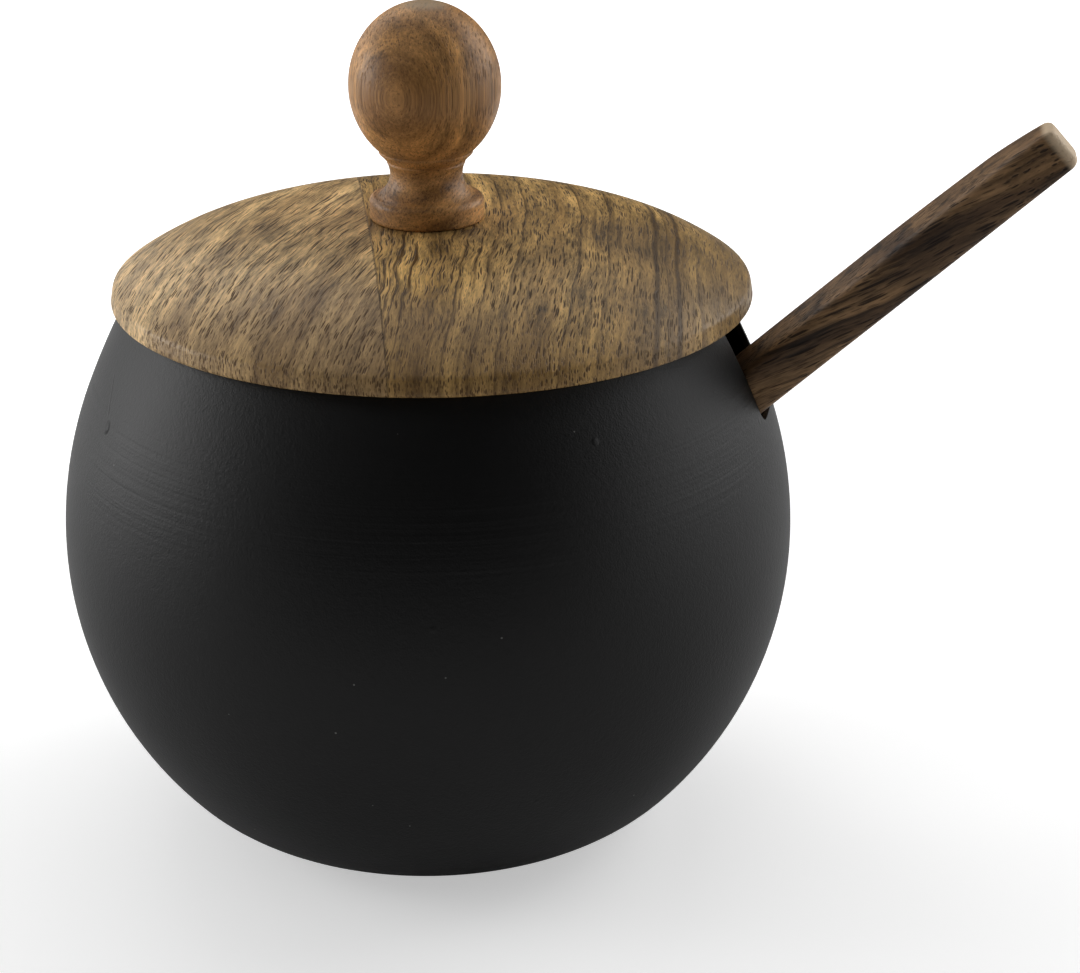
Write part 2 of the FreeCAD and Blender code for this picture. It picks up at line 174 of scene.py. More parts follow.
class SUGARBOWL_PG_spoon(bpy.types.PropertyGroup):
    """Sizes and finish of the one-piece wooden spoon"""
    width: length("Width", "Width of the handle", 11.9)
    thickness: length("Thickness", "Thickness of the handle", 6.7)
    edge: length("Edge", "Rounding along the handle's edges", 1.6)
    rise: angle("Rise", "How steeply the handle rises at rest", 42.4)
    reach: length("Reach", "Length outside the notch", 55.2)
    tail_taper: length("Tail taper", "Length over which the end narrows", 18.0)
    tail_width: length("Tail width", "Width of the end face", 3.9)
    tail_sag: length("Tail sag", "How far the underside curves down at the end", 0.45)
    tail_drop: length("Tail drop", "How far the top curves down at the end", 0.85)
    tail_round: length("Tail rounding", "Rounding of the end's edges", 1.25)
    gap: length("Gap", "Gap between handle and notch", 0.3)
    scoop_reach: length("Scoop reach", "Distance from the notch to the scoop's middle", 79.1)
    scoop_length: length("Scoop length", "Length of the scoop", 34.0)
    scoop_width: length("Scoop width", "Width of the scoop", 24.0)
    scoop_depth: length("Scoop depth", "Depth of the scoop outside", 8.0)
    scoop_wall: length("Scoop wall", "Thickness of the scoop's wall", 1.8)
    pale: colour("Pale", "Pale wood of the spoon", (0.34, 0.20, 0.095))
    dark: colour("Dark", "Dark wood of the spoon", (0.050, 0.027, 0.016))


class SUGARBOWL_PG_stage(bpy.types.PropertyGroup):
    """Camera and studio"""
    azimuth: angle("Azimuth", "Turn of the camera from the front", 8.0)
    elevation: angle("Elevation", "Height of the camera above the horizon", 22.14)
    distance: length("Distance", "Distance from the camera to its target", 364.0, 5000.0)
    aside: length("Aside", "How far the target lies to the camera's right of the axis", 15.91)
    below_rim: length("Below rim", "How far the target lies below the rim", 29.81)
    lens: FloatProperty(name="Lens", description="Focal length in millimetres", default=84.07)
    floor: colour("Floor", "Colour of the floor", (0.95, 0.95, 0.95))
    glow: FloatProperty(name="Floor lift", description="Extra whiteness of the floor", default=0.46)


# ---------------------------------------------------------------- mesh helpers

class Outline:
    """An outline in the XZ plane, drawn from point to point and then spun about the Z axis."""

    def __init__(self, r, z):
        self.bm = bmesh.new()
        self.tip = self.bm.verts.new((r, 0.0, z))
        self.first = self.tip

    def line(self, r, z, cuts=0):
        """Continues straight to (r, z), with a number of points in between."""
        start = self.tip.co.copy()
        for i in range(1, cuts + 2):
            made = bmesh.ops.extrude_vert_indiv(self.bm, verts=[self.tip])
            self.tip = made["verts"][0]
            self.tip.co = start.lerp(Vector((r, 0.0, z)), i / (cuts + 1.0))
        return self

    def arc(self, centre_r, centre_z, turn, steps):
        """Continues along an arc; a positive turn goes from +X towards +Z."""
        made = bmesh.ops.spin(self.bm, geom=[self.tip], cent=(centre_r, 0.0, centre_z),
                              axis=(0.0, -1.0, 0.0), angle=turn, steps=steps)
        self.tip = [v for v in made["geom_last"] if isinstance(v, bmesh.types.BMVert)][0]
        return self

    def curve(self, lead_out, lead_in, r, z, steps):
        """Continues along a Bezier curve to (r, z)."""
        knots = [self.tip.co, Vector((lead_out[0], 0.0, lead_out[1])),
                 Vector((lead_in[0], 0.0, lead_in[1])), Vector((r, 0.0, z))]
        for point in interpolate_bezier(*knots, steps + 1)[1:]:
            self.line(point.x, point.z)
        return self

    def close(self):
        self.bm.edges.new((self.tip, self.first))
        return self

    def spin(self, steps):
        """Spins the outline a full turn; points on the axis become one."""
        bm = self.bm
        bmesh.ops.spin(bm, geom=bm.verts[:] + bm.edges[:], cent=(0.0, 0.0, 0.0),
                       axis=(0.0, 0.0, 1.0), angle=TAU, steps=steps, use_merge=True)
        bmesh.ops.remove_doubles(bm, verts=bm.verts, dist=0.002 * MM)
        bmesh.ops.dissolve_degenerate(bm, edges=bm.edges, dist=0.001 * MM)
        bmesh.ops.recalc_face_normals(bm, faces=bm.faces)
        return bm


def ease(t):
    """Smooth step, 0 to 1."""
    t = min(max(t, 0.0), 1.0)
    return t * t * (3.0 - 2.0 * t)


def face_outwards(bm):
    """Turns an open, rounded skin so that its faces point away from the Z axis."""
    widest = max(bm.faces, key=lambda face: face.calc_center_median().xy.length)
    if widest.normal.xy.dot(widest.calc_center_median().xy) < 0.0:
        bmesh.ops.reverse_faces(bm, faces=bm.faces)


def add_piece(bm, name, body, node, material, sharp_degrees=35.0):
    """Turns a finished mesh into a piece that rides on its body and stands for its CAD node."""
    mesh = bpy.data.meshes.new(name)
    bm.to_mesh(mesh)
    bm.free()
    mesh.shade_smooth()
    mesh.set_sharp_from_angle(angle=math.radians(sharp_degrees))
    mesh.materials.append(material)
    piece = bpy.data.objects.new(name, mesh)
    bpy.context.scene.collection.objects.link(piece)
    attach(piece, body)
    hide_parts(node)
    return piece


def add_bevel(piece, width, segments, degrees):
    bevel = piece.modifiers.new("edge rounding", "BEVEL")
    bevel.width = width
    bevel.segments = segments
    bevel.limit_method = "ANGLE"
    bevel.angle_limit = math.radians(degrees)
    bevel.harden_normals = False


# ---------------------------------------------------------------- node helpers

class Graph:
    """Adds nodes to a tree. An input given as a socket is linked, and as a number is set."""

    def __init__(self, tree):
        self.tree = tree

    def put(self, kind, inputs=None, **settings):
        node = self.tree.nodes.new(kind)
        for key, value in settings.items():
            setattr(node, key, value)
        for key, value in (inputs or {}).items():
            self.feed(node.inputs[key], value)
        return node

    def feed(self, socket, value):
        if isinstance(value, bpy.types.NodeSocket):
            self.tree.links.new(value, socket)
        else:
            socket.default_value = value

    def math(self, operation, a, b=0.0, c=0.0):
        return self.put("ShaderNodeMath", {0: a, 1: b, 2: c}, operation=operation).outputs[0]

    def mix(self, amount, a, b, blend="MIX"):
        node = self.put("ShaderNodeMix", data_type="RGBA", blend_type=blend, clamp_factor=True)
        self.feed(node.inputs[0], amount)
        self.feed(node.inputs[6], a)
        self.feed(node.inputs[7], b)
        return node.outputs[2]

    def fade(self, value, low, high, to_low=0.0, to_high=1.0):
        """Smooth step of a value from low to high."""
        return self.put("ShaderNodeMapRange", {0: value, 1: low, 2: high, 3: to_low, 4: to_high},
                        interpolation_type="SMOOTHSTEP").outputs[0]

    def stretch(self, vector, x, y, z):
        return self.put("ShaderNodeVectorMath", {0: vector, 1: (x, y, z)}, operation="MULTIPLY").outputs[0]

    def noise(self, vector, scale=1.0, detail=2.0, roughness=0.5):
        inputs = {"Vector": vector, "Scale": scale, "Detail": detail, "Roughness": roughness}
        return self.put("ShaderNodeTexNoise", inputs).outputs["Fac"]

    def split(self, vector):
        return self.put("ShaderNodeSeparateXYZ", {0: vector}).outputs

    def join(self, x, y, z):
        return self.put("ShaderNodeCombineXYZ", {0: x, 1: y, 2: z}).outputs[0]


def rgba(rgb):
    return (rgb[0], rgb[1], rgb[2], 1.0)


def new_group(name, inputs, outputs):
    """Node group with named sockets; returns the group, its graph and its input sockets."""
    group = bpy.data.node_groups.new(name, "ShaderNodeTree")
    for label, kind, default in inputs:
        socket = group.interface.new_socket(name=label, in_out="INPUT", socket_type=kind)
        if default is not None:
            socket.default_value = default
    for label, kind in outputs:
        group.interface.new_socket(name=label, in_out="OUTPUT", socket_type=kind)
    graph = Graph(group)
    return group, graph, graph.put("NodeGroupInput").outputs


def pore_layer(g, x, across, z, long, wide, amount):
    """Dark dashes along the grain: a mask, 1 in a pore."""
    at = g.join(g.math("DIVIDE", x, long), g.math("DIVIDE", across, wide), g.math("DIVIDE", z, wide))
    cells = g.put("ShaderNodeTexVoronoi", {"Vector": at, "Scale": 1.0, "Randomness": 1.0})
    red, green, _ = g.split(cells.outputs["Color"])
    reach = g.math("MULTIPLY_ADD", green, 0.26, 0.16)
    dash = g.fade(g.math("SUBTRACT", cells.outputs["Distance"], reach), 0.10, -0.06)
    return g.math("MULTIPLY", dash, g.math("LESS_THAN", red, amount))


def timber_group():
    """Growth lines, fibres, streaks and open pores. The vector is in mm with X along the grain."""
    number = "NodeSocketFloat"
    tint = "NodeSocketColor"
    group, g, given = new_group("timber", [
        ("Vector", "NodeSocketVector", None),
        ("Pale", tint, (0.4, 0.3, 0.2, 1.0)),
        ("Dark", tint, (0.2, 0.12, 0.06, 1.0)),
        ("Pore Colour", tint, (0.03, 0.018, 0.01, 1.0)),
        ("Wander", number, 3.0),
        ("Wander Length", number, 60.0),
        ("Ripple", number, 0.3),
        ("Bow", number, 0.0),
        ("Line Spacing", number, 6.0),
        ("Line Strength", number, 0.5),
        ("Band Spacing", number, 12.0),
        ("Band Strength", number, 0.5),
        ("Streak Spacing", number, 1.2),
        ("Streak Strength", number, 0.3),
        ("Fibre Strength", number, 0.3),
        ("Pore Length", number, 5.0),
        ("Pore Width", number, 0.5),
        ("Pore Amount", number, 0.5),
        ("Pore Strength", number, 0.8),
    ], [("Color", tint), ("Height", number), ("Pores", number), ("Across", number)])
    x, y, z = g.split(given["Vector"])
    slow = g.math("DIVIDE", 1.0, given["Wander Length"])
    drift_at = g.join(g.math("MULTIPLY", x, slow), g.math("MULTIPLY", y, 0.025),
                      g.math("MULTIPLY", z, 0.025))
    drift = g.math("SUBTRACT", g.noise(drift_at, 1.0, 2.0, 0.4), 0.5)
    ripple_at = g.stretch(given["Vector"], 0.13, 0.16, 0.16)
    ripple = g.math("SUBTRACT", g.noise(ripple_at), 0.5)
    across = g.math("MULTIPLY_ADD", drift, given["Wander"], y)
    across = g.math("MULTIPLY_ADD", ripple, given["Ripple"], across)
    bowed = g.math("MULTIPLY", g.math("MULTIPLY", x, x), given["Bow"])
    across = g.math("SUBTRACT", across, bowed)
    bent = g.join(x, across, z)

    bands_at = g.join(g.math("MULTIPLY", x, 0.006), g.math("DIVIDE", across, given["Band Spacing"]),
                      g.math("MULTIPLY", z, 0.03))
    bands = g.fade(g.noise(bands_at, 1.0, 3.0, 0.55), 0.34, 0.66)
    cloud = g.math("SUBTRACT", g.noise(g.stretch(bent, 0.09, 0.4, 0.2), 1.0, 3.0, 0.55), 0.5)

    streak_at = g.join(g.math("MULTIPLY", x, 0.05), g.math("DIVIDE", across, given["Streak Spacing"]),
                       g.math("MULTIPLY", z, 0.3))
    streak = g.fade(g.noise(streak_at, 1.0, 3.0, 0.6), 0.50, 0.66)

    uneven = g.noise(g.join(0.0, g.math("MULTIPLY", across, 0.11), 0.0), 1.0, 1.0, 0.5)
    phase = g.math("ADD", g.math("DIVIDE", across, given["Line Spacing"]), g.math("MULTIPLY", uneven, 3.0))
    line = g.math("POWER", g.math("FRACT", phase), 9.0)
    broken = g.noise(g.stretch(bent, 0.03, 0.2, 1.0))
    line = g.math("MULTIPLY", line, g.fade(broken, 0.30, 0.55))

    fibre = g.math("SUBTRACT", g.noise(g.stretch(bent, 0.4, 2.6, 2.6), 1.0, 5.0, 0.7), 0.5)
    coarse = pore_layer(g, x, across, z, given["Pore Length"], given["Pore Width"], given["Pore Amount"])
    fine = pore_layer(g, x, across, z, g.math("MULTIPLY", given["Pore Length"], 0.42),
                      g.math("MULTIPLY", given["Pore Width"], 0.62), given["Pore Amount"])
    pores = g.math("MAXIMUM", coarse, g.math("MULTIPLY", fine, 0.6))

    colour_now = g.mix(g.math("MULTIPLY", bands, given["Band Strength"]), given["Pale"], given["Dark"])
    for mask, strength in ((line, "Line Strength"), (streak, "Streak Strength")):
        colour_now = g.mix(g.math("MULTIPLY", mask, given[strength]), colour_now, given["Pore Colour"])
    shade = g.math("MULTIPLY_ADD", g.math("ADD", fibre, cloud), given["Fibre Strength"], 1.0)
    colour_now = g.mix(1.0, colour_now, g.join(shade, shade, shade), "MULTIPLY")
    colour_now = g.mix(g.math("MULTIPLY", pores, given["Pore Strength"]), colour_now, given["Pore Colour"])
    height = g.math("SUBTRACT", g.math("MULTIPLY", fibre, 0.4), pores)
    g.put("NodeGroupOutput", {"Color": colour_now, "Height": height, "Pores": pores, "Across": across})
    return group


def use_group(graph, group, inputs):
    node = graph.put("ShaderNodeGroup", node_tree=group)
    for key, value in inputs.items():
        graph.feed(node.inputs[key], value)
    return node.outputs


def new_material(name):
    """Empty node material; returns it, its graph, its Principled shader and object coordinates in mm."""
    material = bpy.data.materials.new(name)
    material.use_nodes = True
    graph = Graph(material.node_tree)
    material.node_tree.nodes.clear()
    shader = graph.put("ShaderNodeBsdfPrincipled")
    graph.put("ShaderNodeOutputMaterial", {"Surface": shader.outputs[0]})
    place = graph.put("ShaderNodeTexCoord").outputs["Object"]
    return material, graph, shader, graph.stretch(place, 1.0 / MM, 1.0 / MM, 1.0 / MM)


def along_grain(graph, place_mm, centre_mm, turn_degrees):
    """Moves and turns the coordinates so that the grain runs along X."""
    turn = tuple(math.radians(v) for v in turn_degrees)
    moved = graph.put("ShaderNodeVectorMath", {0: place_mm, 1: tuple(centre_mm)}, operation="SUBTRACT")
    return graph.put("ShaderNodeMapping", {"Vector": moved.outputs[0], "Rotation": turn},
                     vector_type="TEXTURE").outputs[0]


def bump(graph, shader, height, distance_mm, strength):
    inputs = {"Height": height, "Distance": distance_mm * MM, "Strength": strength}
    graph.feed(shader.inputs["Normal"], graph.put("ShaderNodeBump", inputs).outputs[0])


def timber():
    return bpy.data.node_groups.get("timber") or timber_group()


# ---------------------------------------------------------------- materials

def spot(g, place, centre_mm, radii_mm):
    """Soft round mask, 1 at its middle and 0 outside its radii."""
    off = g.put("ShaderNodeVectorMath", {0: place, 1: centre_mm}, operation="SUBTRACT").outputs[0]
    off = g.stretch(off, *[1.0 / r for r in radii_mm])
    far = g.put("ShaderNodeVectorMath", {0: off}, operation="LENGTH").outputs["Value"]
    return g.fade(far, 1.0, 0.35)


def powder_coat(sizes):
    """Matte black powder coat: orange peel, faint spinning rings, specks of dust and one run."""
    material, g, shader, place = new_material("powder coat")
    x, y, z = g.split(place)
    peel = g.math("ADD", g.noise(place, 1.5, 2.0, 0.5), g.noise(place, 4.0, 1.0, 0.5))
    rings = g.noise(g.stretch(place, 0.01, 0.01, 1.0), 1.0, 2.0, 0.6)
    belt = g.math("MULTIPLY", g.fade(z, RINGS_Z[0], RINGS_Z[1]), g.fade(z, RINGS_Z[3], RINGS_Z[2]))
    cloud = g.noise(place, 0.05)
    pimples = g.put("ShaderNodeTexVoronoi", {"Vector": place, "Scale": 0.11})
    pimple = g.fade(pimples.outputs["Distance"], 0.07, 0.02)
    bead = spot(g, place, BEAD_PLACE, (1.0, 1.0, 1.15))
    run = g.fade(g.math("ABSOLUTE", g.math("SUBTRACT", x, RUN_X)), 0.16, 0.05)
    ends = g.math("MULTIPLY", g.fade(z, RUN_Z[0], RUN_Z[0] + 0.6), g.fade(z, RUN_Z[1], RUN_Z[1] - 1.2))
    run = g.math("MULTIPLY", run, ends)
    run = g.math("MULTIPLY", run, g.math("LESS_THAN", y, 0.0))
    height = g.math("MULTIPLY_ADD", g.math("MULTIPLY", rings, belt), 3.0, g.math("MULTIPLY", peel, 0.85))
    height = g.math("MULTIPLY_ADD", bead, 6.0, g.math("MULTIPLY_ADD", run, 1.6, height))
    height = g.math("MULTIPLY_ADD", pimple, 1.5, height)
    specks = g.put("ShaderNodeTexVoronoi", {"Vector": place, "Scale": 0.2})
    speck = g.fade(specks.outputs["Distance"], 0.034, 0.020)
    coat = g.mix(g.math("MULTIPLY", cloud, 0.5), rgba(sizes.coat), rgba([c * 1.25 for c in sizes.coat]))
    coat = g.mix(g.math("MULTIPLY", speck, 0.6), coat, (0.22, 0.22, 0.21, 1.0))
    g.feed(shader.inputs["Base Color"], coat)
    g.feed(shader.inputs["Roughness"], g.math("MULTIPLY_ADD", cloud, 0.06, 0.47))
    shader.inputs["Specular IOR Level"].default_value = 0.28
    bump(g, shader, height, 0.05, 0.8)
    return material


def glue_line(g, place, colour_now, sizes):
    """Darkens the wood along the glue line between the staves."""
    x, y, _ = g.split(place)
    turn = sizes.seam_angle
    along_x = g.math("MULTIPLY", g.math("SUBTRACT", x, LID_AXIS.x / MM), math.cos(turn))
    off = g.math("MULTIPLY_ADD", y, math.sin(turn), along_x)
    off = g.math("ABSOLUTE", g.math("ADD", off, sizes.seam / MM))
    return g.mix(g.fade(off, 0.20, 0.04, 0.0, 0.45), colour_now, (0.04, 0.024, 0.012, 1.0))


def lid_grain(g, place, middle_x, turn):
    """Grain in the lid, drawn out in depth so the pores stay long where the dome slopes through them."""
    grain = along_grain(g, place, (middle_x, 0.0, LID_MIDDLE_Z), (0.0, 0.0, turn))
    return g.stretch(grain, 1.0, 1.0, PORE_DEPTH)


def finish_wood(g, shader, wood, colour_now, roughness, in_pores=0.25, specular=0.3, depth=0.12,
                strength=0.5):
    """Colour, satin gloss and pore relief of a wooden piece; the pores are rougher by in_pores."""
    g.feed(shader.inputs["Base Color"], colour_now)
    g.feed(shader.inputs["Roughness"], g.math("MULTIPLY_ADD", wood["Pores"], in_pores, roughness))
    shader.inputs["Specular IOR Level"].default_value = specular
    bump(g, shader, wood["Height"], depth, strength)


def lid_wood_left(sizes):
    """Greyish tan stave with long dark pores leaning across it."""
    material, g, shader, place = new_material("lid wood left")
    wood = use_group(g, timber(), {
        "Vector": lid_grain(g, place, -24.0, 80.0), "Pale": rgba(sizes.pale_left),
        "Dark": rgba(sizes.dark_left), "Pore Colour": (0.060, 0.030, 0.011, 1.0), "Wander": 5.0,
        "Wander Length": 60.0, "Ripple": 1.2, "Line Spacing": 14.0, "Line Strength": 0.2,
        "Band Spacing": 6.0, "Band Strength": 0.6, "Streak Spacing": 0.6, "Streak Strength": 0.4,
        "Fibre Strength": 2.6,
        "Pore Length": 7.0, "Pore Width": 0.28, "Pore Amount": 0.7, "Pore Strength": 0.95})
    # Painted shade: the stave darkens towards the lid's front, where the light falls off.
    front = spot(g, place, (-12.0, -40.0, 86.0), (38.0, 20.0, 40.0))
    colour_now = g.mix(g.math("MULTIPLY", front, 0.45), wood["Color"], PAINTED_FRONT_SHADE)
    colour_now = glue_line(g, place, colour_now, sizes)
    finish_wood(g, shader, wood, colour_now, roughness=0.42)
    return material


def lid_wood_right(sizes):
    """Golden brown stave with bowed growth lines, wavy streaks by the knob and fine pores."""
    material, g, shader, place = new_material("lid wood right")
    near_knob = spot(g, place, (2.0, -22.0, 86.0), (13.0, 34.0, 60.0))
    knot = spot(g, place, KNOT_PLACE, (10.0, 11.0, 40.0))
    # Painted shade: the stave darkens towards the lid's right edge, where the light falls off.
    painted_right_shade = g.fade(g.split(place)[0], 24.0, 40.0)
    ripple = g.math("MULTIPLY_ADD", near_knob, 1.2, 0.9)
    streak = g.math("MULTIPLY_ADD", near_knob, 0.62, 0.34)
    streak = g.math("MULTIPLY_ADD", knot, 0.35, streak)
    wood = use_group(g, timber(), {
        "Vector": lid_grain(g, place, LID_AXIS.x / MM, 99.0), "Pale": rgba(sizes.pale_right),
        "Dark": rgba(sizes.dark_right), "Pore Colour": (0.055, 0.027, 0.008, 1.0), "Wander": 6.0,
        "Wander Length": 55.0, "Ripple": ripple,
        "Bow": 0.0016, "Line Spacing": 5.6, "Line Strength": 0.85, "Band Spacing": 5.0,
        "Band Strength": 0.7, "Streak Spacing": 0.5, "Streak Strength": streak, "Fibre Strength": 2.6,
        "Pore Length": 4.2, "Pore Width": 0.28, "Pore Amount": 0.75, "Pore Strength": 0.95})
    # Painted shade towards the right edge of the lid.
    colour_now = g.mix(g.math("MULTIPLY", painted_right_shade, 0.5), wood["Color"], (0.20, 0.13, 0.066, 1.0))
    colour_now = g.mix(g.math("MULTIPLY", knot, 0.45), colour_now, (0.085, 0.058, 0.038, 1.0))
    for line_at in DARK_LINES:
        off = g.math("ABSOLUTE", g.math("SUBTRACT", wood["Across"], line_at))
        colour_now = g.mix(g.fade(off, 0.55, 0.12, 0.0, 0.75), colour_now, (0.06, 0.035, 0.018, 1.0))
    # Painted shade: the stave darkens towards the lid's front, where the light falls off.
    front = spot(g, place, (6.0, -44.0, 86.0), (40.0, 20.0, 40.0))
    colour_now = g.mix(g.math("MULTIPLY", front, 0.45), colour_now, PAINTED_FRONT_SHADE)
    colour_now = glue_line(g, place, colour_now, sizes)
    finish_wood(g, shader, wood, colour_now, roughness=0.40)
    return material


def knob_wood(sizes):
    """Fine reddish wood; the growth rings stand upright in front of the ball, so they show as ovals."""
    material, g, shader, place = new_material("knob wood")
    x, y, z = g.split(place)
    across = g.math("SUBTRACT", x, KNOB_AXIS.x / MM + KNOB_HEART[0])
    up = g.math("MULTIPLY", g.math("SUBTRACT", z, KNOB_LOW.z / MM + KNOB_HEART[1]), 0.92)
    ring = g.math("SQRT", g.math("ADD", g.math("MULTIPLY", across, across), g.math("MULTIPLY", up, up)))
    core = g.fade(ring, 6.2, 5.0)
    turned = g.join(y, ring, across)
    wood = use_group(g, timber(), {
        "Vector": turned, "Pale": rgba(sizes.pale), "Dark": rgba(sizes.dark),
        "Pore Colour": (0.06, 0.024, 0.008, 1.0), "Wander": 1.5, "Wander Length": 40.0, "Ripple": 0.7,
        "Line Spacing": 1.9, "Line Strength": 0.24, "Band Spacing": 2.2, "Band Strength": 0.55,
        "Streak Spacing": 0.5, "Streak Strength": 0.12, "Fibre Strength": 2.4, "Pore Length": 1.6,
        "Pore Width": 0.3, "Pore Amount": 0.6, "Pore Strength": 0.5})
    colour_now = g.mix(g.math("MULTIPLY", core, 0.35), wood["Color"], (0.20, 0.085, 0.022, 1.0))
    top_end = g.fade(z, KNOB_HIGH.z / MM - 0.9, KNOB_HIGH.z / MM - 0.2)
    colour_now = g.mix(g.math("MULTIPLY", top_end, 0.6), colour_now, (0.50, 0.38, 0.24, 1.0))
    finish_wood(g, shader, wood, colour_now, roughness=0.42, in_pores=0.2, specular=0.35, depth=0.08,
                strength=0.4)
    return material


def spoon_wood(sizes):
    """Dark open-grained wood with black streaks running a little flatter than the handle."""
    material, g, shader, place = new_material("spoon wood")
    grain = along_grain(g, place, (66.0, 0.0, 82.0), (0.0, -28.5, 0.0))
    x, y, z = g.split(grain)
    turned = g.join(x, z, y)
    patch = spot(g, grain, (8.0, 0.0, 2.0), (13.0, 40.0, 6.0))
    wood = use_group(g, timber(), {
        "Vector": turned, "Pale": rgba(sizes.pale), "Dark": rgba(sizes.dark),
        "Pore Colour": (0.012, 0.007, 0.005, 1.0), "Wander": 3.0, "Wander Length": 30.0, "Ripple": 0.8,
        "Line Spacing": 2.6, "Line Strength": 0.55, "Band Spacing": 3.2, "Band Strength": 0.85,
        "Streak Spacing": 0.8, "Streak Strength": 0.75, "Fibre Strength": 1.8, "Pore Length": 6.0,
        "Pore Width": 0.4, "Pore Amount": 0.6, "Pore Strength": 0.85})
    colour_now = g.mix(g.math("MULTIPLY", patch, 0.6), wood["Color"], (0.022, 0.012, 0.009, 1.0))
    beam = along_grain(g, place, [v / MM for v in SPOON_SEAT], (0.0, -math.degrees(sizes.rise), 0.0))
    along = g.split(beam)[0]
    end = sizes.reach / MM
    colour_now = g.mix(g.fade(along, end - 1.9, end - 0.7, 0.0, 0.85), colour_now, (0.80, 0.62, 0.42, 1.0))
    finish_wood(g, shader, wood, colour_now, roughness=0.48, in_pores=0.2, specular=0.25)
    return material


def screw_steel():
    """Zinc-plated steel with fine drawing marks."""
    material, g, shader, place = new_material("screw steel")
    marks = g.noise(g.stretch(place, 3.0, 3.0, 0.6), 2.0, 3.0, 0.6)
    g.feed(shader.inputs["Base Color"], g.mix(marks, (0.50, 0.49, 0.46, 1.0), (0.66, 0.65, 0.61, 1.0)))
    shader.inputs["Metallic"].default_value = 1.0
    g.feed(shader.inputs["Roughness"], g.math("MULTIPLY_ADD", marks, 0.15, 0.28))
    bump(g, shader, marks, 0.01, 0.3)
    return material


def floor_paper(sizes):
    """White paper that fades into the white surround; only the camera sees the lift."""
    material, g, shader, place = new_material("floor")
    shader.inputs["Base Color"].default_value = rgba(sizes.floor)
    shader.inputs["Roughness"].default_value = 0.9
    shader.inputs["Specular IOR Level"].default_value = 0.0
    shader.inputs["Emission Color"].default_value = (1.0, 1.0, 1.0, 1.0)
    away = g.put("ShaderNodeVectorMath", {0: place}, operation="LENGTH").outputs["Value"]
    lift = g.math("ADD", g.fade(away, 90.0, 700.0, 0.0, 0.55), sizes.glow)
    seen = g.put("ShaderNodeLightPath").outputs["Is Camera Ray"]
    g.feed(shader.inputs["Emission Strength"], g.math("MULTIPLY", seen, lift))
    return material


# ---------------------------------------------------------------- pieces

def notch_planes(sizes):
    """Planes round the notch, each a point and a normal that points out of the notch."""
    half = 0.5 * sizes.notch_width
    floor = SPOON_SEAT.z
    corner = sizes.notch_corner
    path = [(half, BOWL_HIGH.z)]
    for turn in [math.radians(30.0 * i) for i in range(4)]:
        path.append((half - corner + corner * math.cos(turn), floor + corner - corner * math.sin(turn)))
    path += [(-y, z) for y, z in reversed(path)]
    planes = []
    for (y0, z0), (y1, z1) in zip(path, path[1:]):
        outward = Vector((0.0, z0 - z1, y1 - y0)).normalized()
        planes.append((Vector((0.0, y0, z0)), outward))
    return planes


def cut_notch(bm, sizes):
    """Cuts the notch through the skin on the +X side, leaving clean edges round it."""
    planes = notch_planes(sizes)
    margin = 3.0 * MM
    for point, outward in planes:
        near = []
        for face in bm.faces:
            centre = face.calc_center_median()
            if centre.x > 0.0 and abs(centre.y) < 0.5 * sizes.notch_width + margin:
                if centre.z > SPOON_SEAT.z - margin:
                    near.append(face)
        parts = set(near)
        for face in near:
            parts.update(face.edges)
            parts.update(face.verts)
        bmesh.ops.bisect_plane(bm, geom=list(parts), dist=0.0005 * MM, plane_co=point, plane_no=outward)
    inside = []
    for face in bm.faces:
        centre = face.calc_center_median()
        if centre.x > 0.0 and all((centre - point).dot(outward) < 0.0 for point, outward in planes):
            inside.append(face)
    bmesh.ops.delete(bm, geom=inside, context="FACES")


class SUGARBOWL_OT_bowl(bpy.types.Operator):
    """Build the spun metal bowl with the spoon's notch in its rim"""
    bl_idname = "sugarbowl.bowl"
    bl_label = "Bowl"

    def execute(self, context):
        sizes = context.scene.sugar_bowl
        widest = BOWL_HIGH.y
        flank_r = widest - sizes.flank
        heel_r = flank_r + (sizes.flank - sizes.heel) * math.cos(sizes.flank_angle)
        waist_z = sizes.heel + (sizes.flank - sizes.heel) * math.sin(sizes.flank_angle)
        shoulder_r = widest - sizes.shoulder
        neck_r = shoulder_r - (sizes.neck - sizes.shoulder) * math.cos(sizes.shoulder_angle)
        neck_z = waist_z - (sizes.neck - sizes.shoulder) * math.sin(sizes.shoulder_angle)
        rim_angle = math.asin((BOWL_HIGH.z - neck_z) / sizes.neck)
        outline = Outline(0.0, 0.0)
        outline.line(heel_r, 0.0, cuts=5)
        outline.arc(heel_r, sizes.heel, 0.5 * math.pi - sizes.flank_angle, 16)
        outline.arc(flank_r, waist_z, sizes.flank_angle, 22)
        outline.arc(shoulder_r, waist_z, sizes.shoulder_angle, 14)
        outline.arc(neck_r, neck_z, rim_angle - sizes.shoulder_angle, 9)
        bm = outline.spin(sizes.steps)
        face_outwards(bm)
        cut_notch(bm, sizes)
        piece = add_piece(bm, "bowl", "bowl", "bowl_shell", powder_coat(sizes))
        sheet = piece.modifiers.new("sheet", "SOLIDIFY")
        sheet.thickness = sizes.wall
        sheet.offset = -1.0
        sheet.use_even_offset = True
        add_bevel(piece, 0.18 * MM, 2, 50.0)
        return {"FINISHED"}


